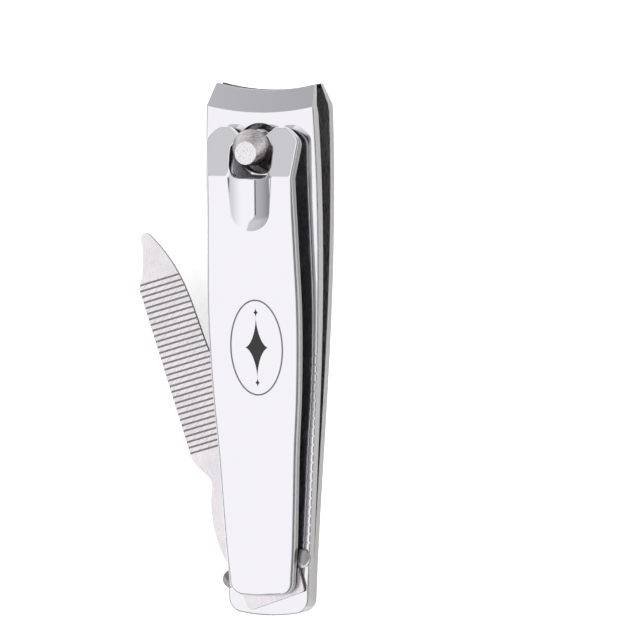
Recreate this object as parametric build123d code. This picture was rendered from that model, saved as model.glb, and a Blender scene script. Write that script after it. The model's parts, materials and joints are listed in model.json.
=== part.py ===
"""Large toenail clipper with a folded lever and a swing-out nail file.

Two sprung blades are joined at the tail by a rivet, which is also the file's pivot. A turned post
passes through both blades behind the jaws, and the lever's fork hooks into a notch near its top.

Row frame: +Z up along the post, +Y towards the jaws, +X across, millimetres. The origin is the centre
of the post's flat foot. The clipper lies on a table on that foot and on the tail of the lower blade,
so the blades lean by LAY_ANGLE. Blades, rivet, file and lever are drawn in the body frame, where the
plane between the two blades is Z = 0, and are moved into the row frame by BODY.
"""

from build123d import *
import os
from math import atan, cos, degrees, radians, sin, sqrt, tan

# ---- blades -------------------------------------------------------------------------------------
BLADE_THICKNESS = 1.85
TAIL_Y = -71.3  # tail end, on the centre line
EDGE_Y = 8.8  # cutting edge, on the centre line
RIVET_Y = -64.1
ROOT_SLOPE = 1.0  # degrees each blade leaves the other at the rivet
FOLD_Y = 5.5  # where the jaw's outer slope starts
GAP_AT_FOLD = 4.4  # between the blades' inner faces
TAIL_HALF = 6.5  # half widths of the blade's outline, from the tail to the cutting edge
WAIST_HALF = 7.6
MIDDLE_HALF = 8.66
BELLY_HALF = 9.2
FOLD_HALF = 8.85
EDGE_HALF = 8.05
TAIL_SIDE_Y = -70.5
WAIST_Y = -49.6
MIDDLE_Y = -31.1
BELLY_Y = -11.6
TAIL_CORNER_R = 2.3
BREAK_R = 0.3  # rounding of the outer edges
HOLE_R = 3.9  # clearance hole for the post

# ---- jaws ---------------------------------------------------------------------------------------
EDGE_GAP = 1.6  # between the two cutting edges, open
EDGE_RADIUS = 33.0  # of the concave cutting edge, seen from above
GROUND_RUN = 0.06  # ground face along the cutting edge
GROUND_HEIGHT = 0.95
OUTER_SLOPE = 35.0  # degrees, outside of the jaw
INNER_SLOPE = 24.0  # degrees, inside of the jaw

# ---- post ---------------------------------------------------------------------------------------
POST_R = 2.75
FOOT_R = 4.6
FOOT_THICKNESS = 1.0
FOOT_BEVEL = 0.35
FOOT_CLEARANCE = 0.06
NOTCH_REACH = 1.85  # the notch's back wall and floor, from the lever's hook axis
NOTCH_ABOVE = 1.4  # its roof
HEAD_RIM = 2.56  # bottom of the head's cone above the hook axis
HEAD_TOP = 4.56  # top facet above the hook axis
FACET_R = 1.75
FACET_BACK = 0.85  # the top facet sits behind the post's axis and to one side
FACET_SIDE = 0.2

# ---- lever (body frame) -------------------------------------------------------------------------
LEVER_THICKNESS = 1.8
LEVER_END_Y = -68.1
LEVER_GAP_AT_RIVET = 1.0  # underside above the upper blade
BEND_Y = -4.2
BEND_TOP_Z = 7.95
BEND_R = 2.4
FORK_SLOPE = 13.7  # degrees the fork falls towards the jaws
HOOK_Y = 1.6  # the hook axis
NOSE_R = 1.7  # rounded noses of the prongs, about the hook axis
FORK_HALF = 7.6
PRONG_CORNER_R = 2.0
BEND_HALF = 6.95
LEVER_BELLY_HALF = 7.45
LEVER_MIDDLE_HALF = 7.0
LEVER_WAIST_HALF = 6.03
LEVER_TAIL_HALF = 5.15
LEVER_WAIST_Y = -53.0
LEVER_MIDDLE_Y = -37.7
LEVER_BELLY_Y = -24.0
LEVER_CORNER_R = 2.2
LEVER_EDGE_R = 0.6
LIP_HALF = 2.0  # half the mouth between the two hooking lips
LIP_TIP = 0.2  # along the fork, from the hook axis, where the mouth is narrowest
MOUTH_HALF = 3.9
LIP_BACK = -0.4  # along the fork, from the hook axis, where the lips end and the eye starts
EYE_FRONT = -1.3
EYE_HALF = 3.4  # the eye that lets the post's head through
EYE_CORNER_R = 2.1
EYE_END = -6.155  # along the fork, from the hook axis
SCOOP_END_Y = -12.45
SCOOP_HALF = 3.6
SCOOP_DEPTH = 1.0
SCOOP_RISE = 2.6  # degrees the channel gets shallower towards the tail

# ---- file ---------------------------------------------------------------------------------------
FILE_THICKNESS = 0.55
FILE_SWING = 16.5  # degrees the file stands open in the drawn pose
FILE_RISE = 2.2  # degrees the file leans up from its flat root
FILE_ROOT_LENGTH = 6.0
PAD_HEIGHT = 0.15  # raised pad on the upper blade that carries the file
PAD_R = 3.2
RUNNING_GAP = 0.02
EAR_X = 6.0
EAR_R = 1.4
EAR_DOME = 0.3
FILE_REACH = 60.0  # the sheet is cut from a strip this long
FILE_CORNER_R = 0.5
FILE_NOTCH = [(-6.8, 19.6), (-6.15, 17.7), (-4.7, 14.9), (-5.5, 12.7), (-6.05, 10.8), (-5.3, 1.0)]
FILE_ROOT = [(-5.3, 1.0), (-4.9, -2.6), (-4.5, -5.4), (5.1, -4.9), (5.3, 1.0), (5.3, 5.0)]
FILE_NECK = [(5.3, 5.0), (4.4, 9.5), (1.8, 14.0), (0.9, 20.0), (0.9, 35.0)]
FILE_BACK = [(0.9, 35.0), (0.6, 40.0), (-0.1, 46.4), (-1.6, 51.1), (-3.0, 53.8)]
FILE_TIP = [(-3.0, 53.8), (-3.8, 54.3), (-4.6, 53.7)]
FILE_HOOK = [(-4.6, 53.7), (-5.1, 50.7), (-7.2, 46.4)]
TEETH_START = 20.1  # along the file, from the pivot
TEETH_PITCH = 0.89
TEETH_COUNT = 31
TOOTH_WIDTH = 0.3

# ---- ribs stamped across the upper blade ----------------------------------------------------------
GRIP_START_Y = -60.0
GRIP_PITCH = 1.36
GRIP_COUNT = 22
GRIP_WIDTH = 0.3
GRIP_DEPTH = 0.1

# ---- tail rivet ---------------------------------------------------------------------------------
RIVET_R = 1.3
RIVET_CLEARANCE = 0.14
FLARE_CLEARANCE = 0.26  # round the head in the file, which tilts a little as the jaws close
RIVET_HEAD_R = 2.2
RIVET_DOME = 0.2
RIVET_FLARE = 0.6  # countersunk depth of the heads

# ---- worked-out values --------------------------------------------------------------------------
ARM_RUN = FOLD_Y - RIVET_Y
ARC_R = ARM_RUN**2 / (GAP_AT_FOLD - 2 * ARM_RUN * tan(radians(ROOT_SLOPE)))
EDGE_Z = EDGE_GAP / 2
EDGE_AXIS_Y = EDGE_Y + EDGE_RADIUS


def inner_z(y):
    """Height of a blade's inner face above the plane between the blades."""
    run = max(0.0, y - RIVET_Y)
    return run * tan(radians(ROOT_SLOPE)) + run**2 / (2 * ARC_R)


STANDING = FOOT_THICKNESS + FOOT_CLEARANCE + BLADE_THICKNESS + inner_z(0)
LAY_ANGLE = degrees(atan((STANDING - BLADE_THICKNESS) / -TAIL_Y))
MID_HEIGHT = -TAIL_Y * sin(radians(LAY_ANGLE)) + BLADE_THICKNESS * cos(radians(LAY_ANGLE))
BODY = Pos(0, 0, MID_HEIGHT) * Rot(LAY_ANGLE, 0, 0)

LEVER_TOP_AT_RIVET = BLADE_THICKNESS + LEVER_GAP_AT_RIVET + LEVER_THICKNESS
BAR_SLOPE = degrees(atan((BEND_TOP_Z - LEVER_TOP_AT_RIVET) / (BEND_Y - RIVET_Y)))
HOOK_Z = (
    BEND_TOP_Z
    - (HOOK_Y - BEND_Y) * tan(radians(FORK_SLOPE))
    - LEVER_THICKNESS / 2 / cos(radians(FORK_SLOPE))
)
FILE_BOTTOM_Z = BLADE_THICKNESS + PAD_HEIGHT + RUNNING_GAP
FILE_TOP_Z = FILE_BOTTOM_Z + FILE_THICKNESS


def to_row(y, z):
    """A point on the centre plane, from the body frame to the row frame."""
    lay = radians(LAY_ANGLE)
    return y * cos(lay) - z * sin(lay), MID_HEIGHT + y * sin(lay) + z * cos(lay)


def slab(edges, half_width):
    """A closed outline drawn in the YZ plane, extruded to both sides of X = 0."""
    return extrude(make_face(Plane.YZ * (Curve() + edges)), half_width, both=True)


def closed_polyline(points):
    """Lines through the points and back to the first one."""
    return [Line(a, b) for a, b in zip(points, points[1:] + points[:1])]


def edge_ring(points):
    """Solid of revolution about the vertical axis of the concave edge, from (radius, z) points."""
    face = make_face(Plane.XZ * (Curve() + closed_polyline(points)))
    return Pos(0, EDGE_AXIS_Y, 0) * revolve(face, Axis.Z)


def dome(radius, height):
    """Low spherical cap standing on Z = 0."""
    ball_r = (radius**2 + height**2) / (2 * height)
    ball = Pos(0, 0, height - ball_r) * Sphere(ball_r)
    return ball & Cylinder(radius, height * 2, align=(Align.CENTER, Align.CENTER, Align.MIN))


def blade_plan():
    """Plan of a blade, with a rounded tail and a front end left long for the jaw."""
    tail_side = (TAIL_HALF, TAIL_SIDE_Y)
    front_y = EDGE_AXIS_Y - sqrt(EDGE_RADIUS**2 - EDGE_HALF**2)
    with BuildSketch() as plan:
        with BuildLine():
            Spline(
                tail_side,
                (WAIST_HALF, WAIST_Y),
                (MIDDLE_HALF, MIDDLE_Y),
                (BELLY_HALF, BELLY_Y),
                (FOLD_HALF, FOLD_Y),
            )
            Polyline(
                (FOLD_HALF, FOLD_Y),
                (EDGE_HALF, front_y),
                (EDGE_HALF, EDGE_Y + 3),
                (0, EDGE_Y + 3),
                (0, TAIL_Y),
            )
            arc_mid = (TAIL_HALF / 2, TAIL_Y + (TAIL_SIDE_Y - TAIL_Y) / 4)
            ThreePointArc((0, TAIL_Y), arc_mid, tail_side)
        make_face()
        fillet(plan.vertices().sort_by_distance((*tail_side, 0))[0], TAIL_CORNER_R)
        mirror(about=Plane.YZ)
    return plan.sketch


def strip():
    """The sprung strip of a blade: flat behind the rivet, then curving away, square at both ends."""
    tail, mid, front = TAIL_Y - 1, RIVET_Y + ARM_RUN / 2, EDGE_Y + 3
    lines = []
    for lift in (0, BLADE_THICKNESS):
        lines.append(Line((tail, lift), (RIVET_Y, lift)))
        lines.append(
            ThreePointArc((RIVET_Y, lift), (mid, inner_z(mid) + lift), (front, inner_z(front) + lift))
        )
    lines.append(Line((tail, 0), (tail, BLADE_THICKNESS)))
    lines.append(Line((front, inner_z(front)), (front, inner_z(front) + BLADE_THICKNESS)))
    return slab(lines, 12)


def jaw_wedge():
    """Material under the front of the strip that carries the inner slope of the jaw."""
    fall = tan(radians(INNER_SLOPE))
    back = EDGE_RADIUS + 3.0
    low = EDGE_Z - 0.5 * fall
    wedge = edge_ring(
        [
            (EDGE_RADIUS - 0.5, low),
            (back, EDGE_Z + 3.0 * fall),
            (back + 0.3, 3.2),
            (EDGE_RADIUS - 0.5, 3.2),
        ]
    )
    return wedge & Pos(0, EDGE_Y, 0) * Box(24, 12, 12)


def jaw_front_cut():
    """Everything in front of the jaw's outer slope and its ground bevel."""
    top = 8.0
    knee = EDGE_RADIUS + GROUND_RUN
    knee_z = EDGE_Z + GROUND_HEIGHT
    return edge_ring(
        [
            (EDGE_RADIUS - 6, -1),
            (EDGE_RADIUS, -1),
            (EDGE_RADIUS, EDGE_Z),
            (knee, knee_z),
            (knee + (top - knee_z) / tan(radians(OUTER_SLOPE)), top),
            (EDGE_RADIUS - 6, top),
        ]
    )


def blank_blade():
    """A blade above the plane Z = 0, before its rivet hole: strip, jaw, post hole, broken edges."""
    solid = (strip() + jaw_wedge()) & extrude(blade_plan(), 12)
    solid -= jaw_front_cut()
    sides = [
        e
        for e in solid.edges()
        if e.bounding_box().max.Y < FOLD_Y + 0.6 and e.center().Z > inner_z(e.center().Y) + 1.2
    ]
    solid = fillet([e for e in sides if e.length > 3], BREAK_R)
    return solid - Cylinder(HOLE_R, 40)


def upper_blade():
    """Blade with the file's pad, the rivet's clearance hole and the row of stamped ribs."""
    solid = blank_blade()
    pad = Cylinder(PAD_R, PAD_HEIGHT + 0.5, align=(Align.CENTER, Align.CENTER, Align.MAX))
    solid += Pos(0, RIVET_Y, BLADE_THICKNESS + PAD_HEIGHT) * pad
    solid -= Pos(0, RIVET_Y, 0) * Cylinder(RIVET_R + RIVET_CLEARANCE, 20)
    grooves = []
    for i in range(GRIP_COUNT):
        y = GRIP_START_Y + i * GRIP_PITCH
        z = inner_z(y) + BLADE_THICKNESS
        grooves.append(Pos(0, y, z) * Box(24, GRIP_WIDTH, 2 * GRIP_DEPTH))
    return BODY * (solid - grooves)


def lower_blade():
    """Mirror image of the blade, with the rivet's fixed hole countersunk on the outside."""
    solid = mirror(blank_blade(), about=Plane.XY)
    solid -= Pos(0, RIVET_Y, 0) * Cylinder(RIVET_R, 20)
    solid -= Pos(0, RIVET_Y, -BLADE_THICKNESS) * rivet_flare(RIVET_R)
    return BODY * solid


def rivet_flare(small_r, extra=0.0):
    """Countersink cone with its wide end on Z = 0, going up."""
    half = RIVET_FLARE / 2
    return Pos(0, 0, half) * Cone(RIVET_HEAD_R + extra, small_r + extra, RIVET_FLARE)


def tail_rivet():
    """Rivet through both blades and the file, with flared heads and a low dome on top."""
    height = FILE_TOP_Z + BLADE_THICKNESS
    solid = Pos(0, 0, -BLADE_THICKNESS) * Cylinder(
        RIVET_R, height, align=(Align.CENTER, Align.CENTER, Align.MIN)
    )
    solid += Pos(0, 0, -BLADE_THICKNESS) * rivet_flare(RIVET_R)
    solid += Pos(0, 0, FILE_TOP_Z) * Rot(180, 0, 0) * rivet_flare(RIVET_R)
    solid += Pos(0, 0, FILE_TOP_Z) * dome(RIVET_HEAD_R, RIVET_DOME)
    return BODY * Pos(0, RIVET_Y, 0) * solid


def post_pin():
    """Turned post in the row frame: flat foot, shank, hooking notch and a cone-ended head."""
    hook_y, hook_z = to_row(HOOK_Y, HOOK_Z)
    rim_z = hook_z + HEAD_RIM
    low = (Align.CENTER, Align.CENTER, Align.MIN)
    foot = Cylinder(FOOT_R, FOOT_THICKNESS, align=low)
    foot = chamfer(foot.edges().group_by(Axis.Z)[0], FOOT_BEVEL)
    shank = Cylinder(POST_R, rim_z, align=low)
    rim = Pos(0, 0, rim_z) * Circle(POST_R)
    facet = Pos(FACET_SIDE, -FACET_BACK, hook_z + HEAD_TOP) * Circle(FACET_R)
    solid = foot + shank + loft([rim, facet])
    notch = Box(8, 8, NOTCH_REACH + NOTCH_ABOVE, align=(Align.CENTER, Align.MIN, Align.MIN))
    return solid - Pos(0, hook_y - NOTCH_REACH, hook_z - NOTCH_REACH) * notch


def lever_section():
    """Side section of the lever: straight bar, bend, and fork ending in rounded noses."""
    b, s, half = radians(BAR_SLOPE), radians(FORK_SLOPE), LEVER_THICKNESS / 2
    bar_l = (BEND_Y - LEVER_END_Y + 1) / cos(b)
    bend = (BEND_Y, BEND_TOP_Z)
    tail_top = (bend[0] - bar_l * cos(b), bend[1] - bar_l * sin(b))
    tail_low = (tail_top[0] + 2 * half * sin(b), tail_top[1] - 2 * half * cos(b))
    turn = (s - b) / 2  # direction of the bend's bisector, from vertical towards the jaws
    mitre = 2 * half / cos((s + b) / 2)
    bend_low = (bend[0] - mitre * sin(turn), bend[1] - mitre * cos(turn))
    reach = sqrt(NOSE_R**2 - half**2)

    def at(along, up):
        return (
            HOOK_Y + along * cos(s) + up * sin(s),
            HOOK_Z - along * sin(s) + up * cos(s),
        )

    with BuildSketch(Plane.YZ) as side:
        with BuildLine():
            Polyline(at(reach, -half), bend_low, tail_low, tail_top, bend, at(reach, half))
            ThreePointArc(at(reach, half), at(NOSE_R, 0), at(reach, -half))
        make_face()
        fillet(side.vertices().sort_by_distance((*bend, 0))[0], BEND_R)
        fillet(side.vertices().sort_by_distance((*bend_low, 0))[0], BEND_R / 3)
    return extrude(side.sketch, 10, both=True)


def lever_plan():
    """Plan of the lever: rounded tail, tapering bar, belly, and flared prongs."""
    tail_side = (LEVER_TAIL_HALF, LEVER_END_Y + 0.5)
    nose_y = HOOK_Y + NOSE_R
    with BuildSketch() as plan:
        with BuildLine():
            Spline(
                tail_side,
                (LEVER_WAIST_HALF, LEVER_WAIST_Y),
                (LEVER_MIDDLE_HALF, LEVER_MIDDLE_Y),
                (LEVER_BELLY_HALF, LEVER_BELLY_Y),
                (BEND_HALF, BEND_Y - 3),
                (BEND_HALF, BEND_Y),
                (FORK_HALF, HOOK_Y),
            )
            Polyline((FORK_HALF, HOOK_Y), (FORK_HALF, nose_y + 1), (0, nose_y + 1), (0, LEVER_END_Y))
            arc_mid = (LEVER_TAIL_HALF / 2, LEVER_END_Y + 0.125)
            ThreePointArc((0, LEVER_END_Y), arc_mid, tail_side)
        make_face()
        fillet(plan.vertices().sort_by_distance((*tail_side, 0))[0], LEVER_CORNER_R)
        mirror(about=Plane.YZ)
    return plan.sketch


def fork_plane():
    """Plane of the fork's middle: origin on the hook axis, x across, y towards the noses."""
    s = radians(FORK_SLOPE)
    return Plane((0, HOOK_Y, HOOK_Z), x_dir=(1, 0, 0), z_dir=(0, sin(s), cos(s)))


def fork_opening():
    """Mouth, hooking lips and eye, cut square to the fork."""
    turn = EYE_CORNER_R * (1 - sin(radians(45)))
    front = NOSE_R + 1
    mouth = (MOUTH_HALF, NOSE_R - 0.1)
    tip = (LIP_HALF, LIP_TIP)
    side = (EYE_HALF, EYE_END + EYE_CORNER_R)
    with BuildSketch(fork_plane()) as hole:
        with BuildLine():
            Polyline((0, front), (MOUTH_HALF, front), mouth)
            Spline(mouth, (LIP_HALF + 0.7, LIP_TIP + 0.8), tip, tangents=((-1, -0.2), (0, -1)))
            Polyline(tip, (LIP_HALF, LIP_BACK), (EYE_HALF, EYE_FRONT), side)
            ThreePointArc(side, (EYE_HALF - turn, EYE_END + turn), (EYE_HALF - EYE_CORNER_R, EYE_END))
            Polyline((EYE_HALF - EYE_CORNER_R, EYE_END), (0, EYE_END), (0, front))
        make_face()
    half = extrude(hole.sketch, 6, both=True)
    return half + mirror(half, about=Plane.YZ)


def prong_corners():
    """Rounds the outer front corners of the two prongs."""
    low = (Align.MIN, Align.MIN)
    centre = (FORK_HALF - PRONG_CORNER_R, NOSE_R - PRONG_CORNER_R)
    with BuildSketch(fork_plane()) as corner:
        with Locations(centre):
            Rectangle(PRONG_CORNER_R + 1, PRONG_CORNER_R + 1, align=low)
            Circle(PRONG_CORNER_R, mode=Mode.SUBTRACT)
    half = extrude(corner.sketch, 4, both=True)
    return half + mirror(half, about=Plane.YZ)


def scoop():
    """Round-bottomed channel stamped into the bar behind the eye, with a round end."""
    ball_r = (SCOOP_HALF**2 + SCOOP_DEPTH**2) / (2 * SCOOP_DEPTH)
    far = BEND_Y - SCOOP_END_Y - SCOOP_HALF + 0.35
    channel = Cylinder(ball_r, 2 * far) + Pos(0, 0, far) * Sphere(ball_r)
    channel = Pos(0, 0, ball_r - SCOOP_DEPTH) * Rot(90 - SCOOP_RISE, 0, 0) * channel
    return Pos(0, BEND_Y, BEND_TOP_Z) * Rot(BAR_SLOPE, 0, 0) * channel


def lever():
    """One stamped sheet, bent at the fork."""
    solid = lever_section() & extrude(lever_plan(), 20)
    solid -= fork_opening()
    solid -= prong_corners()
    solid -= scoop()
    rims = [e for e in solid.edges() if e.length > 15 and e.bounding_box().max.Y < BEND_Y]
    solid = fillet(rims, LEVER_EDGE_R)
    return BODY * solid


def file_plan():
    """Outline of the file, pivot at the origin and blade along +Y."""
    with BuildSketch() as plan:
        with BuildLine():
            Spline(FILE_NOTCH)
            Polyline(FILE_ROOT)
            Spline(FILE_NECK)
            Spline(FILE_BACK)
            Spline(FILE_TIP)
            Spline(FILE_HOOK)
            Line(FILE_HOOK[-1], FILE_NOTCH[0])
        make_face()
        for x in (-EAR_X, EAR_X):
            with Locations((x, 0)):
                Circle(EAR_R)
        corner = [v for v in plan.vertices() if v.Y < -4]
        fillet(corner, FILE_CORNER_R)
    return plan.sketch


def nail_file():
    """Sheet file with cross-cut teeth, cleaning tip and two domed finger ears by the pivot."""
    rise, far = tan(radians(FILE_RISE)), FILE_REACH
    root, behind = FILE_ROOT_LENGTH, -9
    lift = (far - root) * rise
    t = FILE_THICKNESS
    section = slab(
        closed_polyline([(behind, 0), (root, 0), (far, lift), (far, lift + t), (root, t), (behind, t)]), 12
    )
    solid = section & extrude(file_plan(), 10)
    teeth = []
    for i in range(TEETH_COUNT):
        v = TEETH_START + i * TEETH_PITCH
        place = Pos(0, v, (v - root) * rise + t) * Rot(FILE_RISE + 45, 0, 0)
        teeth.append(place * Box(24, TOOTH_WIDTH / sqrt(2), TOOTH_WIDTH / sqrt(2)))
    solid -= teeth
    for x in (-EAR_X, EAR_X):
        solid += Pos(x, 0, t) * dome(EAR_R - 0.1, EAR_DOME)
    solid -= Cylinder(RIVET_R + RIVET_CLEARANCE, 10)
    solid -= Pos(0, 0, t) * Rot(180, 0, 0) * rivet_flare(RIVET_R, FLARE_CLEARANCE)
    return BODY * Pos(0, RIVET_Y, FILE_BOTTOM_Z) * Rot(0, 0, FILE_SWING) * solid


NODES = {
    "lower_blade": lower_blade,
    "upper_blade": upper_blade,
    "post_pin": post_pin,
    "lever": lever,
    "nail_file": nail_file,
    "tail_rivet": tail_rivet,
}

os.makedirs("parts", exist_ok=True)
for name, make in NODES.items():
    shape = make()
    export_step(shape, f"parts/{name}.step")
    print(name, "solids", len(shape.solids()), "valid", shape.is_valid, "volume", round(shape.volume, 1))

hook_y, hook_z = to_row(HOOK_Y, HOOK_Z)
rivet_y, rivet_z = to_row(RIVET_Y, 0)
print("lean", round(LAY_ANGLE, 4), "hook axis", round(hook_y, 4), round(hook_z, 4))
print("rivet axis", round(rivet_y, 4), round(rivet_z, 4), "bar slope", round(BAR_SLOPE, 3))
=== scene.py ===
"""Looks of the toenail clipper: chrome, satin and turned steel, studio light, camera and floor."""

import json
from math import cos, pi, radians, sin, sqrt, tan

import bmesh
import bpy
import numpy as np
from mathutils import Matrix, Vector
from mathutils.geometry import delaunay_2d_cdt


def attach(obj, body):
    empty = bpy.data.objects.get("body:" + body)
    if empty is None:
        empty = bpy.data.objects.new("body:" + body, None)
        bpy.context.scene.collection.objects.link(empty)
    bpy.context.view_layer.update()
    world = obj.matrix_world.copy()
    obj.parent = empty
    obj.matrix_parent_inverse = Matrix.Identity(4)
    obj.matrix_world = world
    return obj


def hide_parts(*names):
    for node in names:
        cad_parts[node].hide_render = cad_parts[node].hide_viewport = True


MM = 0.001
HOLE_R = 3.9  # millimetres, like all lengths here: the post's hole
EDGE_Y = 8.8  # the cutting edge on the centre line
EDGE_R = 33.0  # the concave cutting edge, seen from above
EAR_R = 1.42  # the file's two ears, and their places when it is swung out
EAR_X = 5.75
EAR_Y = -64.04
EAR_SLANT = 0.296
FILE_X = -0.284  # the direction of the swung-out file
FILE_Y = 0.958
CUT_FROM = -41.6  # the cross cuts, along that direction
CUT_TO = -14.3
MARK_X = 0.5  # middle of the printed mark on the lever
MARK_S = -25.95
MARK_STEP = 5.35  # from there to each small star
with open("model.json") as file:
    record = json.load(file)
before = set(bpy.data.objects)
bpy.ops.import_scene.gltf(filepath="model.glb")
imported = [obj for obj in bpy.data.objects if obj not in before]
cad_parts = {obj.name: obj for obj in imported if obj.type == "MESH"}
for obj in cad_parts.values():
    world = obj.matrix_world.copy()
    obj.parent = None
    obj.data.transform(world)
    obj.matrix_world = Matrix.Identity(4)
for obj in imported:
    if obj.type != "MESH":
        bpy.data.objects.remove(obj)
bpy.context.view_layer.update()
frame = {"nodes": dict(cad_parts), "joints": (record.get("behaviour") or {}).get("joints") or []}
nodes = frame["nodes"]
scene = bpy.context.scene


# ---- node helpers -------------------------------------------------------------------------------
class Nodes:
    """Short calls for building one node tree."""

    def __init__(self, tree):
        self.tree = tree
        tree.nodes.clear()

    def add(self, kind, values=(), **settings):
        node = self.tree.nodes.new(kind)
        for key, value in settings.items():
            setattr(node, key, value)
        for key, value in dict(values).items():
            if isinstance(value, bpy.types.NodeSocket):
                self.tree.links.new(value, node.inputs[key])
            else:
                node.inputs[key].default_value = value
        return node

    def math(self, operation, a, b=0.0, c=0.0, clamp=False):
        node = self.add("ShaderNodeMath", {0: a, 1: b, 2: c}, operation=operation, use_clamp=clamp)
        return node.outputs[0]

    def step(self, value, low, high, out_low=0.0, out_high=1.0):
        """Smooth step of value from low to high."""
        node = self.add(
            "ShaderNodeMapRange",
            {"Value": value, "From Min": low, "From Max": high, "To Min": out_low, "To Max": out_high},
            interpolation_type="SMOOTHSTEP",
        )
        return node.outputs["Result"]

    def mix(self, factor, a, b):
        node = self.add("ShaderNodeMix", {"Factor": factor, "A": a, "B": b})
        return node.outputs["Result"]

    def mix_colour(self, factor, a, b, blend_type="MIX"):
        node = self.add("ShaderNodeMix", data_type="RGBA", blend_type=blend_type)
        for key, value in ((0, factor), (6, a), (7, b)):
            if isinstance(value, bpy.types.NodeSocket):
                self.tree.links.new(value, node.inputs[key])
            else:
                node.inputs[key].default_value = value
        return node.outputs[2]

    def place(self):
        """Object position in millimetres."""
        at = self.add("ShaderNodeTexCoord").outputs["Object"]
        return self.add("ShaderNodeVectorMath", {0: at, "Scale": 1000.0}, operation="SCALE").outputs[0]

    def stretched(self, place, x, y, z):
        return self.add("ShaderNodeVectorMath", {0: place, 1: (x, y, z)}, operation="MULTIPLY").outputs[0]

    def noise(self, place, scale, detail=2.0, rough=0.5):
        node = self.add(
            "ShaderNodeTexNoise",
            {"Vector": place, "Scale": scale, "Detail": detail, "Roughness": rough},
        )
        return node.outputs["Fac"]

    def bump(self, height, strength, distance_mm, normal=None):
        values = {"Height": height, "Strength": strength, "Distance": distance_mm * MM}
        if normal is not None:
            values["Normal"] = normal
        return self.add("ShaderNodeBump", values).outputs[0]

    def normal(self):
        """Geometric normal of the piece in its rest pose, as x, y and z."""
        found = self.add("ShaderNodeNewGeometry").outputs["True Normal"]
        turned = self.add(
            "ShaderNodeVectorTransform",
            {0: found},
            vector_type="NORMAL",
            convert_from="WORLD",
            convert_to="OBJECT",
        )
        return self.add("ShaderNodeSeparateXYZ", {0: turned.outputs[0]}).outputs

    def metal(self, colour, roughness, normal, **more):
        values = {"Base Color": colour, "Roughness": roughness, "Normal": normal, "Metallic": 1.0}
        values.update({key.replace("_", " "): value for key, value in more.items()})
        shader = self.add("ShaderNodeBsdfPrincipled", values)
        self.add("ShaderNodeOutputMaterial", {"Surface": shader.outputs[0]})


def new_material(name):
    material = bpy.data.materials.new(name)
    material.use_nodes = True
    return material, Nodes(material.node_tree)


def rgb(red, green, blue):
    return (red, green, blue, 1.0)


# ---- materials ----------------------------------------------------------------------------------
def chrome_blade(name, inward):
    """Bright chrome outside, satin on the cut edges and inner face; painted shade darkens the side walls,
    the faces by the cutting edge and the post's hole.
    """
    material, n = new_material(name)
    at = n.place()
    nx, ny, nz = n.normal()
    x, y = n.add("ShaderNodeSeparateXYZ", {0: at}).outputs[:2]
    tail_end = n.step(ny, -0.7, -0.5, 1.0, 0.0)
    side = n.math("MAXIMUM", n.step(n.math("ABSOLUTE", nx), 0.6, 0.85), tail_end)
    inner = n.step(n.math("MULTIPLY", nz, inward), 0.55, 0.8)
    ground = n.step(ny, 0.75, 0.95)
    reach = n.math("SQRT", n.math("ADD", n.math("MULTIPLY", x, x), n.math("MULTIPLY", y, y)))
    upright = n.step(n.math("ABSOLUTE", nz), 0.3, 0.6, 1.0, 0.0)
    hole = n.math("MULTIPLY", n.step(reach, HOLE_R + 0.2, HOLE_R + 0.4, 1.0, 0.0), upright)
    scratch = n.noise(n.stretched(at, 6.0, 0.25, 6.0), 1.0, 3.0)
    ripple = n.noise(n.stretched(at, 0.30, 0.08, 0.30), 1.0, 1.0)
    grain = n.noise(n.stretched(at, 9.0, 0.5, 12.0), 1.0, 4.0, 0.7)
    cross = n.noise(n.stretched(at, 0.6, 6.0, 9.0), 1.0, 4.0, 0.7)
    satin = n.math("MAXIMUM", side, n.math("MAXIMUM", inner, ground))
    roughness = n.mix(satin, n.step(scratch, 0.3, 0.75, 0.03, 0.075), n.step(grain, 0.3, 0.7, 0.22, 0.36))
    roughness = n.mix(hole, roughness, 0.5)
    # Painted shade: the side walls and the tail end are coloured dark gray, on top of their satin finish.
    colour = n.mix_colour(side, rgb(0.945, 0.94, 0.965), rgb(0.33, 0.325, 0.32))
    brushed = n.mix_colour(cross, rgb(0.46, 0.455, 0.46), rgb(0.60, 0.595, 0.60))
    colour = n.mix_colour(inner, colour, brushed)
    # Painted shade: near the cutting edge the inner and front faces are coloured near black where the jaws
    # meet, partly the honed edge's own tone.
    from_axis = n.math("SUBTRACT", y, EDGE_Y + EDGE_R)
    edge_reach = n.math("SQRT", n.math("MULTIPLY_ADD", x, x, n.math("MULTIPLY", from_axis, from_axis)))
    near_edge = n.step(edge_reach, EDGE_R + 0.6, EDGE_R + 0.9, 1.0, 0.0)
    honed_and_shaded = n.math("MULTIPLY", near_edge, n.math("MAXIMUM", inner, ground))
    colour = n.mix_colour(honed_and_shaded, colour, rgb(0.13, 0.125, 0.13))
    # Painted shade: the wall of the post's hole is coloured near black.
    colour = n.mix_colour(hole, colour, rgb(0.16, 0.15, 0.15))
    normal = n.bump(ripple, 0.1, 0.05)
    normal = n.bump(scratch, 0.05, 0.01, normal)
    normal = n.bump(n.math("MULTIPLY", grain, satin), 0.3, 0.03, normal)
    n.metal(colour, roughness, normal)
    return material


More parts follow.
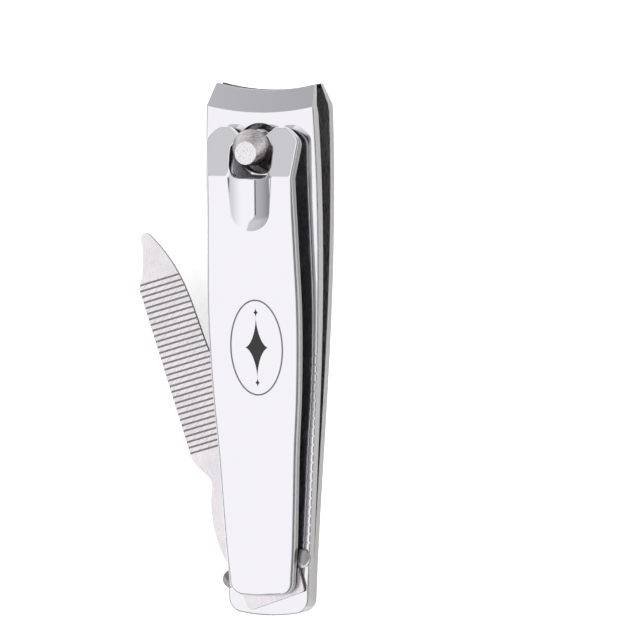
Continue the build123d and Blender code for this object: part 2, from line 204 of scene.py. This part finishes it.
def chrome_lever():
    """The brightest plating, with hairline handling marks; satin underneath; painted shade on the
    underside and the side walls.
    """
    material, n = new_material("lever_chrome")
    at = n.place()
    nx, ny, nz = n.normal()
    under = n.step(nz, -0.75, -0.5, 1.0, 0.0)
    # Painted shade: the side walls get a dark colour, fully on the right, a quarter of it on the left and
    # little at the front.
    shaded_wall = n.step(n.math("ABSOLUTE", nz), 0.6, 0.88, 1.0, 0.0)
    shaded_wall = n.math("MULTIPLY", shaded_wall, n.step(nx, -0.4, 0.0, 0.25, 1.0))
    shaded_wall = n.math("MULTIPLY", shaded_wall, n.step(ny, 0.4, 0.7, 1.0, 0.1))
    scratch = n.noise(n.stretched(at, 7.0, 0.22, 7.0), 1.0, 3.0)
    nick = n.noise(n.stretched(at, 0.5, 3.0, 3.0), 1.0, 3.0, 0.6)
    ripple = n.noise(n.stretched(at, 0.16, 0.05, 0.16), 1.0, 1.0)
    grain = n.noise(n.stretched(at, 6.0, 0.6, 10.0), 1.0, 4.0, 0.7)
    fine = n.math("ADD", n.math("MULTIPLY", scratch, 0.7), n.math("MULTIPLY", nick, 0.3))
    roughness = n.mix(shaded_wall, n.step(fine, 0.35, 0.7, 0.02, 0.06), n.step(grain, 0.3, 0.7, 0.12, 0.24))
    roughness = n.mix(under, roughness, 0.32)
    colour = n.mix_colour(shaded_wall, rgb(0.955, 0.95, 0.975), rgb(0.37, 0.37, 0.365))
    # Painted shade: the satin underside is coloured darker than its finish alone would make it.
    satin = n.mix_colour(n.step(grain, 0.35, 0.65), rgb(0.34, 0.34, 0.35), rgb(0.50, 0.50, 0.51))
    colour = n.mix_colour(under, colour, satin)
    normal = n.bump(ripple, 0.08, 0.05)
    normal = n.bump(fine, 0.04, 0.01, normal)
    normal = n.bump(n.math("MULTIPLY", grain, n.math("MAXIMUM", shaded_wall, under)), 0.25, 0.02, normal)
    n.metal(colour, roughness, normal)
    return material


def turned_steel():
    """Turned post with fine rings and scuffed flanks; a cut facet painted bright, and painted shade
    darkening the taper and flanks.
    """
    material, n = new_material("turned_steel")
    at = n.place()
    nz = n.normal()[2]
    # Painted light and shade by the way each face points: the top facet is painted bright, the sloped
    # taper darkest, the upright flanks dark.
    facet = n.step(nz, 0.93, 0.985)
    cone = n.math("SUBTRACT", n.step(nz, 0.2, 0.4), facet)
    rings = n.noise(n.stretched(at, 0.12, 0.12, 9.0), 1.0, 3.0, 0.6)
    blotch = n.noise(at, 0.9, 4.0, 0.6)
    swirl = n.noise(n.stretched(at, 1.6, 5.0, 2.0), 1.0, 4.0, 0.7)
    flake = n.noise(n.stretched(at, 4.0, 1.5, 2.0), 1.0, 2.0, 0.6)
    flank = n.mix_colour(n.step(blotch, 0.3, 0.7), rgb(0.50, 0.475, 0.48), rgb(0.36, 0.34, 0.35))
    flank = n.mix_colour(n.step(swirl, 0.55, 0.72), flank, rgb(0.80, 0.78, 0.79))
    cut = n.mix_colour(n.step(flake, 0.40, 0.5), rgb(0.86, 0.84, 0.845), rgb(0.96, 0.95, 0.955))
    shaded_taper = n.mix_colour(n.step(swirl, 0.35, 0.65), rgb(0.32, 0.30, 0.305), rgb(0.50, 0.475, 0.48))
    colour = n.mix_colour(cone, flank, shaded_taper)
    colour = n.mix_colour(facet, colour, cut)
    roughness = n.mix(facet, n.step(n.math("ADD", rings, swirl), 0.7, 1.3, 0.18, 0.36), 0.16)
    normal = n.bump(rings, 0.35, 0.04)
    normal = n.bump(swirl, 0.5, 0.05, normal)
    n.metal(colour, roughness, normal)
    return material


def file_steel():
    """Satin nickel file: dark with painted shade in the cross cuts and on the sheared edge, painted
    highlight and shade on the ears, faint second cut.
    """
    material, n = new_material("file_steel")
    at = n.place()
    nx, ny, nz = n.normal()
    edge = n.step(nz, 0.45, 0.6, 1.0, 0.0)
    groove = n.math("MULTIPLY", n.step(nz, 0.9, 0.97, 1.0, 0.0), n.math("SUBTRACT", 1.0, edge))
    front = n.step(ny, 0.0, 0.3)
    grain = n.noise(n.stretched(at, 7.0, 0.8, 7.0), 1.0, 4.0, 0.65)
    cloud = n.noise(at, 0.25, 2.0)
    slant = n.add("ShaderNodeVectorRotate", {"Vector": at, "Angle": radians(38)}, rotation_type="Z_AXIS")
    lines = n.add("ShaderNodeTexWave", {"Vector": slant.outputs[0], "Scale": 0.36, "Distortion": 0.6})
    x, y = n.add("ShaderNodeSeparateXYZ", {0: at}).outputs[:2]
    reach = n.math("ADD", n.math("MULTIPLY", y, FILE_Y), n.math("MULTIPLY", x, FILE_X))
    started = n.step(reach, CUT_FROM, CUT_FROM + 0.3)
    cut = n.math("MULTIPLY", started, n.step(reach, CUT_TO - 0.3, CUT_TO, 1.0, 0.0))
    second = n.math("MULTIPLY", n.step(lines.outputs["Fac"], 0.05, 0.0), cut)
    colour = n.mix_colour(n.step(cloud, 0.3, 0.7), rgb(0.985, 0.945, 0.955), rgb(0.93, 0.89, 0.90))
    ear_x = n.math("SUBTRACT", n.math("ABSOLUTE", x), EAR_X)
    ear_y = n.math("ADD", y, n.math("MULTIPLY_ADD", x, -EAR_SLANT, -EAR_Y))
    ear = n.math("SQRT", n.math("ADD", n.math("MULTIPLY", ear_x, ear_x), n.math("MULTIPLY", ear_y, ear_y)))
    ear = n.step(ear, EAR_R, EAR_R + 0.08, 1.0, 0.0)
    # Painted shade: the cross cuts' walls that face the front are dark, those that face back stay light.
    shaded_tooth = n.mix_colour(front, rgb(0.92, 0.89, 0.90), rgb(0.30, 0.28, 0.285))
    colour = n.mix_colour(groove, colour, shaded_tooth)
    # Painted highlight and shade on the ear domes: light where they face -x and -y, dark elsewhere.
    lit = n.step(n.math("ADD", nx, ny), -0.38, -0.2, 1.0, 0.0)
    painted_ear_light = n.mix_colour(lit, rgb(0.36, 0.34, 0.345), rgb(0.92, 0.89, 0.90))
    colour = n.mix_colour(ear, colour, painted_ear_light)
    # Painted shade: the sheared edge is coloured near black, partly its own raw tone.
    colour = n.mix_colour(edge, colour, rgb(0.17, 0.165, 0.165))
    roughness = n.mix(edge, n.step(grain, 0.3, 0.7, 0.2, 0.34), 0.35)
    normal = n.bump(grain, 0.07, 0.015)
    normal = n.bump(second, 0.5, 0.04, normal)
    n.metal(colour, roughness, normal)
    return material


def rivet_steel():
    """Pressed rivet head, polished by the file that turns on it."""
    material, n = new_material("rivet_steel")
    at = n.place()
    grain = n.noise(at, 2.5, 4.0, 0.6)
    colour = n.mix_colour(n.step(grain, 0.35, 0.7), rgb(0.66, 0.65, 0.655), rgb(0.55, 0.54, 0.545))
    n.metal(colour, n.step(grain, 0.3, 0.7, 0.14, 0.28), n.bump(grain, 0.15, 0.03))
    return material


def printed_ink(name, shade):
    """Pad-printed ink with a slightly uneven film."""
    material, n = new_material(name)
    at = n.place()
    film = n.noise(at, 3.0, 3.0)
    colour = n.mix_colour(film, rgb(shade, shade, shade * 1.1), rgb(shade * 2.5, shade * 2.5, shade * 2.8))
    roughness = n.step(film, 0.3, 0.7, 0.3, 0.5)
    values = {"Base Color": colour, "Roughness": roughness, "Normal": n.bump(film, 0.2, 0.01)}
    shader = n.add("ShaderNodeBsdfPrincipled", values)
    n.add("ShaderNodeOutputMaterial", {"Surface": shader.outputs[0]})
    return material


# ---- lever --------------------------------------------------------------------------------------
LAY = radians(2.4209)  # slope of the body frame in the shared frame
BAR = radians(3.153)  # slope of the lever behind the bend
FORK = radians(13.7)  # fall of the fork towards the jaws
BEND = Vector((0, -4.2, 7.95))  # where the two slopes meet, in the body frame
BEND_R = 2.4
THICK = 1.8
TAIL = -64.02  # along the lever, from the bend
HOOK_Y = 1.6  # the hook axis in the body frame
HOOK_Z = 5.6097
PLAY_FRONT = 0.25  # to one side, at the fork and at the tail
PLAY_TAIL = 0.1
PLAY_START = -10.0
PLAY_RUN = 54.0
SCOOP_DEPTH = 1.0  # the channel: its depth at the bend, its round end, its section
SCOOP_FAR = 5.0
SCOOP_R = 6.98
SCOOP_RISE = tan(radians(2.6))
FRONT_RISE = 0.299  # how fast the channel runs out past the bend
RELIEF = 0.18  # how much thinner the tail is, and where that starts and is full
RELIEF_START = -57.0
RELIEF_RUN = 4.0
UNDER_R = 0.18  # rounding of the lower edges
TURN = BEND_R * tan((FORK + BAR) / 2)
hook_pin = next(j for j in frame["joints"] if j["name"] == "lever_lift")


def to_row(y, z):
    """Body-frame millimetres on the centre plane to row-frame millimetres."""
    dy, dz = y - HOOK_Y, z - HOOK_Z
    pin = hook_pin["pos_m"]
    return (
        pin[1] / MM + dy * cos(LAY) - dz * sin(LAY),
        pin[2] / MM + dy * sin(LAY) + dz * cos(LAY),
    )


def lever_point(x, s, up):
    """Point over the lever: across, along its top from the bend, and above the top face.

    The fork has play on the post, so the lever sits a little to one side, less so at its tail.
    """
    if abs(s) <= TURN:
        fall = -BAR + (s + TURN) / (2 * TURN) * (FORK + BAR)
        y = BEND.y - TURN * cos(BAR) + BEND_R * (sin(BAR) + sin(fall))
        z = BEND.z - TURN * sin(BAR) + BEND_R * (cos(fall) - cos(BAR))
    else:
        fall = FORK if s > 0 else -BAR
        y, z = BEND.y + s * cos(fall), BEND.z - s * sin(fall)
    y, z = to_row(y + up * sin(fall), z + up * cos(fall))
    play = PLAY_FRONT + (PLAY_FRONT - PLAY_TAIL) * min(0.0, s - PLAY_START) / PLAY_RUN
    return Vector((x - play, y, z)) * MM


def scoop(x, s):
    """Depth of the stamped channel behind the eye."""
    deep = SCOOP_DEPTH + max(s, -SCOOP_FAR) * SCOOP_RISE
    past = min(0.0, s + SCOOP_FAR)
    left = SCOOP_R**2 - x * x - past * past
    if left <= 0:
        return 0.0
    depth = sqrt(left) - (SCOOP_R - deep)
    return max(0.0, depth - max(0.0, s) * FRONT_RISE)


def scoop_half(s, inset):
    """Half width of the channel at its rim."""
    deep = SCOOP_DEPTH + max(s, -SCOOP_FAR) * SCOOP_RISE
    past = min(0.0, s + SCOOP_FAR)
    return sqrt(max(0.0, SCOOP_R**2 - (SCOOP_R - deep) ** 2 - past * past)) + inset


def underside(s):
    """Depth of the lower face: the tail is dressed a little thinner, to clear the file."""
    return -THICK + RELIEF * min(1.0, max(0.0, (RELIEF_START - s) / RELIEF_RUN))


def catmull(points, step):
    """Smooth line through the points, sampled about every step."""
    line = []
    ends = [2 * points[0] - points[1], *points, 2 * points[-1] - points[-2]]
    for a, b, c, d in zip(ends, ends[1:], ends[2:], ends[3:]):
        count = max(2, round((c - b).length / step))
        for i in range(count):
            t = i / count
            bend, twist = 2 * a - 5 * b + 4 * c - d, 3 * b - a - 3 * c + d
            line.append(0.5 * (2 * b + (c - a) * t + bend * t**2 + twist * t**3))
    return line + [points[-1]]


def arc(cx, cy, r, start, end, count=12):
    turn = [radians(start + (end - start) * i / count) for i in range(count + 1)]
    return [Vector((cx + r * cos(t), cy + r * sin(t))) for t in turn]


def lever_outline():
    """Half outline from the tail's middle to the eye's back, then the same mirrored."""
    v = Vector
    half = catmull([v((0.0, TAIL)), v((1.6, TAIL + 0.02)), v((3.0, TAIL + 0.1))], 0.4)
    half += arc(3.05, TAIL + 2.25, 2.15, -90, 2)
    sides = [(5.6, -56.9), (6.02, -49.3), (6.42, -41.6), (7.0, -33.9), (7.35, -26.3), (7.45, -19.3)]
    sides += [(7.25, -11.0), (7.05, -4.3), (6.97, -1.0), (7.0, 0.6), (7.3, 3.13), (7.5, 4.9)]
    half += catmull([v((5.22, -61.2)), *map(v, sides)], 0.5)
    corner = [(7.57, 5.55), (7.3, 6.3), (6.75, 6.98), (6.05, 7.55), (5.4, 7.85)]
    half += catmull([v(p) for p in corner], 0.2)[:-1]
    lip = [(5.2, 7.87), (4.3, 7.86), (3.6, 7.73), (2.75, 7.09), (2.15, 6.5)]
    half += catmull([v(p) for p in lip], 0.2)
    eye = [(2.0, 6.16), (2.1, 5.77), (2.6, 5.38), (3.15, 4.94), (3.4, 4.3), (3.4, 2.25)]
    half += catmull([v(p) for p in eye], 0.2)
    half += arc(1.3, 2.11, 2.1, 0, -90)
    half += [v((0.9, 0.01)), v((0.5, 0.01)), v((0.0, 0.01))]
    return half + [v((-p.x, p.y)) for p in reversed(half[1:-1])]


def rounding(p):
    """Radius of the top edge at an outline point."""
    if p.y > 0.005 and abs(p.x) < 4.0:
        return 0.55 if p.y < 0.6 else 0.2
    if p.y > 7.2:
        return 0.25
    side = 0.58 if p.x > 0 else 0.35
    return side - (side - 0.3) * min(1.0, max(0.0, (p.y + 5.0) / 5.0))


def inward(loop):
    """Unit normals of a closed loop, to its inside."""
    count, normals = len(loop), []
    for i in range(count):
        a = (loop[i] - loop[i - 1]).normalized()
        b = (loop[(i + 1) % count] - loop[i]).normalized()
        normals.append(Vector((-(a + b).y, (a + b).x)).normalized())
    return normals


def fill_points(ring):
    """Points inside a ring: a grid, finer round the scoop and bend, and rows along the scoop's rim."""
    rim = []
    for inset in (-0.1, 0.0, 0.1):
        s = -0.1
        while s > -SCOOP_FAR:
            rim += [(scoop_half(s, inset), s), (-scoop_half(s, inset), s)]
            s -= 0.2
        end_r = scoop_half(-SCOOP_FAR, inset)
        rim += [tuple(p) for p in arc(0, -SCOOP_FAR, end_r, -180, 0, 60)]
    grid, s = [], TAIL
    while s < 8.2:
        fine = -9.0 < s < 0.9
        gap = 0.2 if fine else 0.7
        steps = int(7.6 / gap)
        grid += [(i * gap, s) for i in range(-steps, steps + 1)]
        s += gap
    grid, rim, edge = np.array(grid), np.array(rim), np.array([tuple(p) for p in ring])

    def clear(points, others, least):
        far = ((points[:, None] - others[None]) ** 2).sum(2).min(1)
        return points[far > least**2]

    grid = clear(clear(grid, rim, 0.12), edge, 0.16)
    rim = clear(rim, edge, 0.1)
    return [Vector(p) for p in np.vstack([grid, rim])]


def lever_rings(outline, verts):
    """Adds the rings of the rolled edge, from the top face round to the lower one."""
    normals, rings, count = inward(outline), [], len(outline)
    radii = [rounding(p) for p in outline]
    for _ in range(3):
        radii = [(radii[i - 1] + radii[i] + radii[(i + 1) % count]) / 3 for i in range(count)]
    turns = [(pi / 2, True, 0.1)]
    turns += [(pi / 2 * (1 - i / 6), True, 0.0) for i in range(7)]
    turns += [(pi / 2 * i / 3, False, 0.0) for i in range(4)]
    for turn, top, extra in turns:
        ring = []
        for p, n, r in zip(outline, normals, radii):
            r = r if top else UNDER_R
            q = p + n * (r * (1 - cos(turn)) + extra)
            drop = r * (1 - sin(turn))
            up = -scoop(q.x, q.y) - drop if top else underside(q.y) + drop
            ring.append(len(verts))
            verts.append((q.x, q.y, up))
        rings.append(ring)
    return rings


def lever_face(ring, top, verts):
    """Adds the points inside the top or lower face, and returns its triangles."""
    count, names = len(ring), []
    loop = [Vector(verts[i][:2]) for i in ring]
    points = loop + fill_points(loop)
    flat, _, tris, origin, _, _ = delaunay_2d_cdt(points, [], [list(range(count))], 1, 1e-7)
    for p, source in zip(flat, origin):
        first = min(source) if source else count
        if first < count:
            names.append(ring[first])
        else:
            names.append(len(verts))
            verts.append((p.x, p.y, -scoop(p.x, p.y) if top else underside(p.y)))
    faces = [[names[i] for i in tri] for tri in tris]
    return faces if top else [face[::-1] for face in faces]


def closed_mesh(name, verts, faces):
    """Mesh with all its normals outwards."""
    mesh = bpy.data.meshes.new(name)
    mesh.from_pydata(verts, [], faces)
    mesh.validate()
    work = bmesh.new()
    work.from_mesh(mesh)
    bmesh.ops.recalc_face_normals(work, faces=work.faces)
    work.to_mesh(mesh)
    work.free()
    return mesh


def lever_mesh():
    """One stamped sheet with rolled edges, eye, hooking lips and channel."""
    verts, faces = [], []
    rings = lever_rings(lever_outline(), verts)
    count = len(rings[0])
    for a, b in zip(rings, rings[1:]):
        for i in range(count):
            j = (i + 1) % count
            faces.append((a[i], b[i], b[j], a[j]))
    faces += lever_face(rings[0], True, verts) + lever_face(rings[-1], False, verts)
    mesh = closed_mesh("lever_sheet", [lever_point(*v) for v in verts], faces)
    mesh.shade_smooth()
    return mesh


def piece(name, mesh, material, body, slot, *stands_for):
    """Adds a mesh that rides on a body."""
    mesh.materials.append(material)
    made = bpy.data.objects.new(name, mesh)
    scene.collection.objects.link(made)
    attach(made, body)
    if stands_for:
        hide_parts(*stands_for)
    return made


# ---- printed mark -------------------------------------------------------------------------------
def print_film(name, outer, inner=None):
    """Thin closed film of ink on the lever, between two loops or inside one."""
    up, low = 0.012, -0.01
    loops = [outer] if inner is None else [outer, inner]
    verts = [lever_point(x, s, h) for h in (up, low) for loop in loops for x, s in loop]
    count, faces = len(outer), []
    layer = count * len(loops)
    for i in range(count):
        j = (i + 1) % count
        faces.append((i, i + layer, j + layer, j))
        if inner is not None:
            faces.append((i, j, j + count, i + count))
            faces.append((i + layer, i + count + layer, j + count + layer, j + layer))
            faces.append((i + count, j + count, j + count + layer, i + count + layer))
    if inner is None:
        faces += [tuple(range(count)), tuple(range(2 * count - 1, count - 1, -1))]
    return closed_mesh(name, verts, faces)


def oval(half_x, half_s, count=96):
    turn = [2 * pi * i / count for i in range(count)]
    return [(MARK_X + half_x * cos(t), MARK_S + half_s * sin(t)) for t in turn]


def star(x, s, half_x, half_s, count=64):
    """Four-pointed star with hollow sides."""
    points = []
    for i in range(count):
        c, d = cos(2 * pi * i / count), sin(2 * pi * i / count)
        points.append((x + half_x * c * abs(c) ** 2.2, s + half_s * d * abs(d) ** 2.2))
    return points


# ---- light, floor and camera ----------------------------------------------------------------------
def studio():
    """A white overhead softbox in a gray room, with a dark flag; the backdrop is pale."""
    world = bpy.data.worlds.new("studio")
    scene.world = world
    world.use_nodes = True
    n = Nodes(world.node_tree)
    way = n.add("ShaderNodeTexCoord").outputs["Generated"]
    x, y, z = n.add("ShaderNodeSeparateXYZ", {0: way}).outputs
    height = n.math("MAXIMUM", z, 0.02)
    across = n.math("DIVIDE", x, height)
    along = n.math("DIVIDE", y, height)
    left_edge = n.step(along, 0.05, 0.4, -0.60, -0.32)
    inside = n.step(n.math("SUBTRACT", across, left_edge), -0.02, 0.05)
    inside = n.math("MULTIPLY", inside, n.step(across, 0.6, 0.68, 1.0, 0.0))
    inside = n.math("MULTIPLY", inside, n.step(along, -2.2, -1.7))
    inside = n.math("MULTIPLY", inside, n.step(along, 1.3, 1.9, 1.0, 0.0))
    room = n.math("ADD", n.step(z, 0.0, 0.9, 0.36, 0.62), n.step(z, 0.0, 0.10, -0.22, 0.0))
    room = n.math("ADD", room, n.step(along, 0.1, 0.36, -0.15, 0.0))
    room = n.mix(n.step(across, -5.5, -4.0, 1.0, 0.0), room, 0.9)
    flag = n.math("MULTIPLY", n.step(across, 0.64, 0.7), n.step(across, 1.0, 1.2, 1.0, 0.0))
    room = n.mix(flag, room, 0.06)
    light = n.mix(inside, room, n.step(across, 0.0, 0.65, 0.96, 0.66))
    beside = n.math("SUBTRACT", n.math("SUBTRACT", across, left_edge), -0.05)
    bar = n.step(n.math("ABSOLUTE", beside), 0.02, 0.05, 1.0, 0.0)
    bar = n.math("MULTIPLY", bar, n.step(along, 0.0, 0.08, 1.0, 0.0))
    light = n.mix(bar, light, 0.08)
    seen = n.add("ShaderNodeLightPath").outputs["Is Camera Ray"]
    strength = n.mix(seen, light, 1.0)
    back = n.add("ShaderNodeBackground", {"Color": rgb(0.985, 0.975, 1.0), "Strength": strength})
    n.add("ShaderNodeOutputWorld", {"Surface": back.outputs[0]})


def sun(name, direction, strength, angle):
    """Very soft light for the floor, kept out of the chrome's reflections."""
    data = bpy.data.lights.new(name, "SUN")
    data.energy = strength
    data.angle = radians(angle)
    lamp = bpy.data.objects.new(name, data)
    lamp.rotation_euler = Vector(direction).to_track_quat("Z", "Y").to_euler()
    lamp.visible_glossy = False
    scene.collection.objects.link(lamp)


def pale_floor():
    """Plain pale table under the post's foot."""
    material, n = new_material("pale_floor")
    mottle = n.noise(n.place(), 0.05, 2.0)
    colour = n.mix_colour(mottle, rgb(0.93, 0.93, 0.93), rgb(0.95, 0.95, 0.95))
    glow = {"Emission Color": rgb(1, 1, 1), "Emission Strength": 0.5}
    shader = n.add("ShaderNodeBsdfPrincipled", {"Base Color": colour, "Roughness": 0.9, **glow})
    n.add("ShaderNodeOutputMaterial", {"Surface": shader.outputs[0]})
    mesh = bpy.data.meshes.new("floor")
    half = 2.5
    corners = [(-half, -half), (half, -half), (half, half), (-half, half)]
    mesh.from_pydata([(x, y, -0.0001) for x, y in corners], [], [(0, 1, 2, 3)])
    floor = bpy.data.objects.new("floor", mesh)
    mesh.materials.append(material)
    scene.collection.objects.link(floor)


def camera():
    """Camera above and to the right of the clipper, looking down at its top."""
    side, up, roll = radians(22.15), radians(1.3), radians(0.59)
    distance = 1.72  # metres
    away = Vector((sin(side) * cos(up), sin(up), cos(side) * cos(up)))
    right = Vector((0, 1, 0)).cross(away).normalized()
    over = away.cross(right)
    cam_x = cos(roll) * right + sin(roll) * over
    cam_y = cos(roll) * over - sin(roll) * right
    target = Vector((0, -30, 6)) * MM + (8.34 * cam_x + 3.68 * cam_y) * MM
    data = bpy.data.cameras.new("camera")
    data.sensor_fit = "HORIZONTAL"
    data.sensor_width = 36.0
    data.lens = 636.4
    data.clip_start = 0.05
    data.clip_end = 20.0
    eye = bpy.data.objects.new("camera", data)
    turn = Matrix((cam_x, cam_y, away)).transposed()
    eye.matrix_world = Matrix.Translation(target + away * distance) @ turn.to_4x4()
    scene.collection.objects.link(eye)
    scene.camera = eye


def paint(node, material):
    nodes[node].data.materials.clear()
    nodes[node].data.materials.append(material)


studio()
sun("key", (-0.3, -0.1, 0.9), 1.2, 50)
sun("fill", (0.5, 0.4, 0.8), 0.6, 60)
pale_floor()
camera()
scene.view_settings.view_transform = "Standard"

paint("lower_blade", chrome_blade("lower_chrome", 1.0))
paint("upper_blade", chrome_blade("upper_chrome", -1.0))
paint("post_pin", turned_steel())
paint("nail_file", file_steel())
paint("tail_rivet", rivet_steel())
piece("lever_sheet", lever_mesh(), chrome_lever(), "lever_body", "lever_chrome", "lever")
ring = print_film("mark_ring", oval(4.34, 7.34), oval(4.10, 7.10))
piece("mark_ring", ring, printed_ink("ring_ink", 0.08), "lever_body", "lever_chrome")
ink = printed_ink("star_ink", 0.012)
stars = [(0.0, 1.9, 4.6), (MARK_STEP, 0.4, 0.7), (-MARK_STEP, 0.4, 0.7)]
for i, (ahead, half_x, half_s) in enumerate(stars):
    film = print_film(f"mark_star_{i}", star(MARK_X, MARK_S + ahead, half_x, half_s))
    piece(f"mark_star_{i}", film, ink, "lever_body", "lever_chrome")
